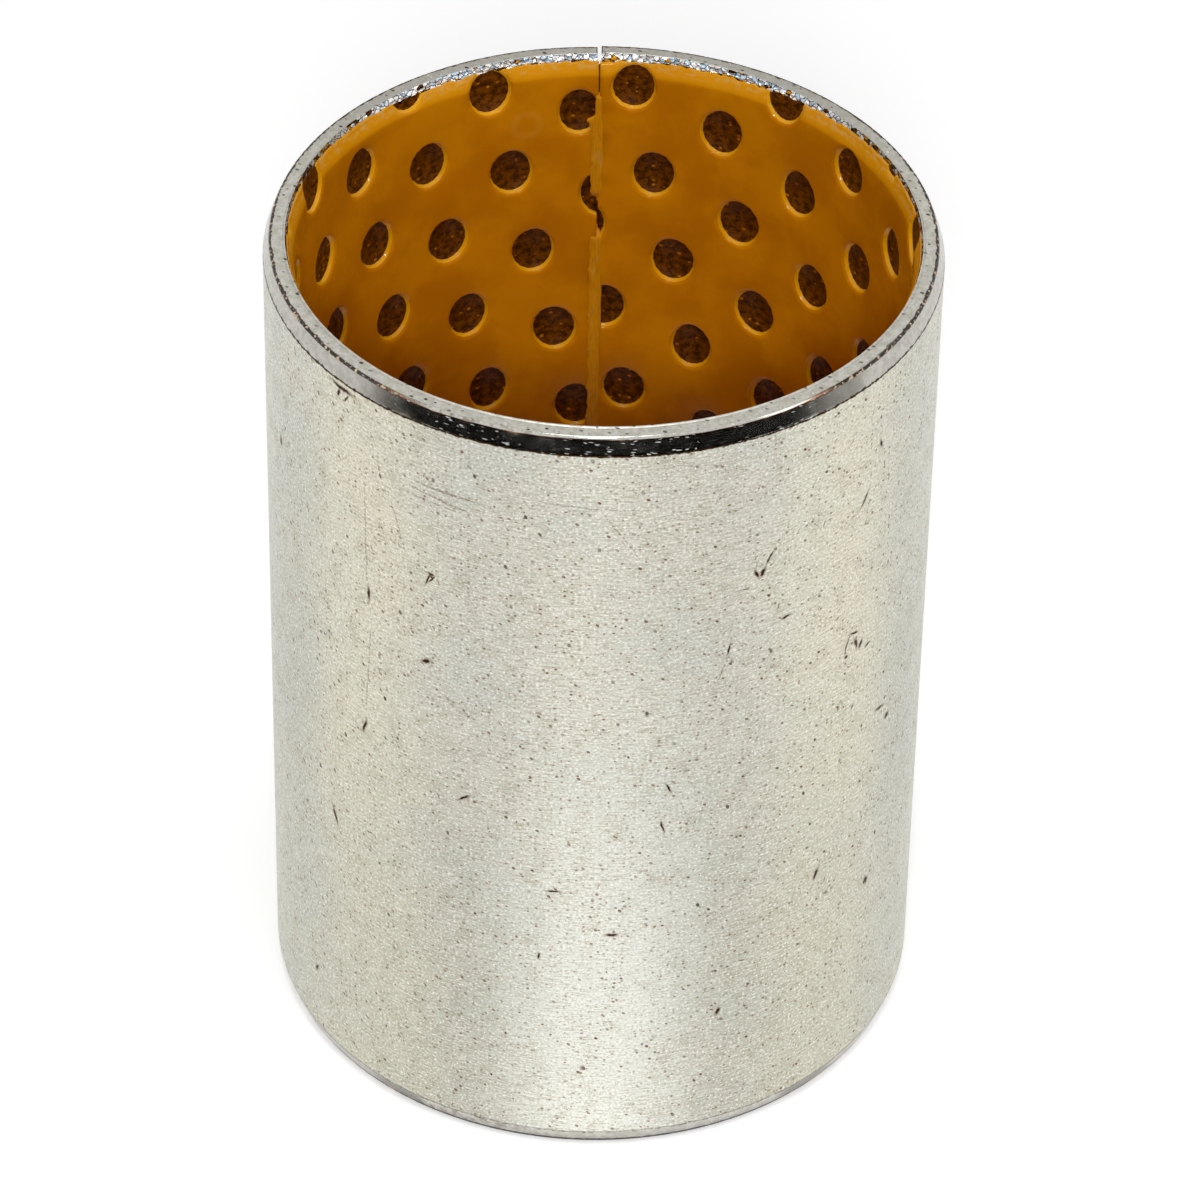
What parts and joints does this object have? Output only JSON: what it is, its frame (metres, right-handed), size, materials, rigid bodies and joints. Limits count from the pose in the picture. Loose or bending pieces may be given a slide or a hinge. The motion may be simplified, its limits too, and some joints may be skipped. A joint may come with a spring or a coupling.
{
  "type": "lined split bushing",
  "caption": "Rolled, split plain bushing: tinned steel tube with an amber acetal lining that has grease pockets in slanting rows.",
  "frame": {"origin": "centre of the lower end face, where the bushing stands", "axes": "+Z along the bore axis towards the upper end, +Y towards the seam"},
  "size_m": [0.044, 0.044, 0.06],
  "materials": {
    "tinned_steel": "satin tin plating on rolled steel, finely scratched and speckled",
    "sintered_bronze": "porous sintered bronze, torn bright where it was machined",
    "amber_acetal": "smooth amber acetal, lightly glossy"
  },
  "bodies": {
    "root": {"steel_back": "tinned_steel", "bronze_layer": "sintered_bronze", "acetal_lining": "amber_acetal"}
  },
  "joints": []
}
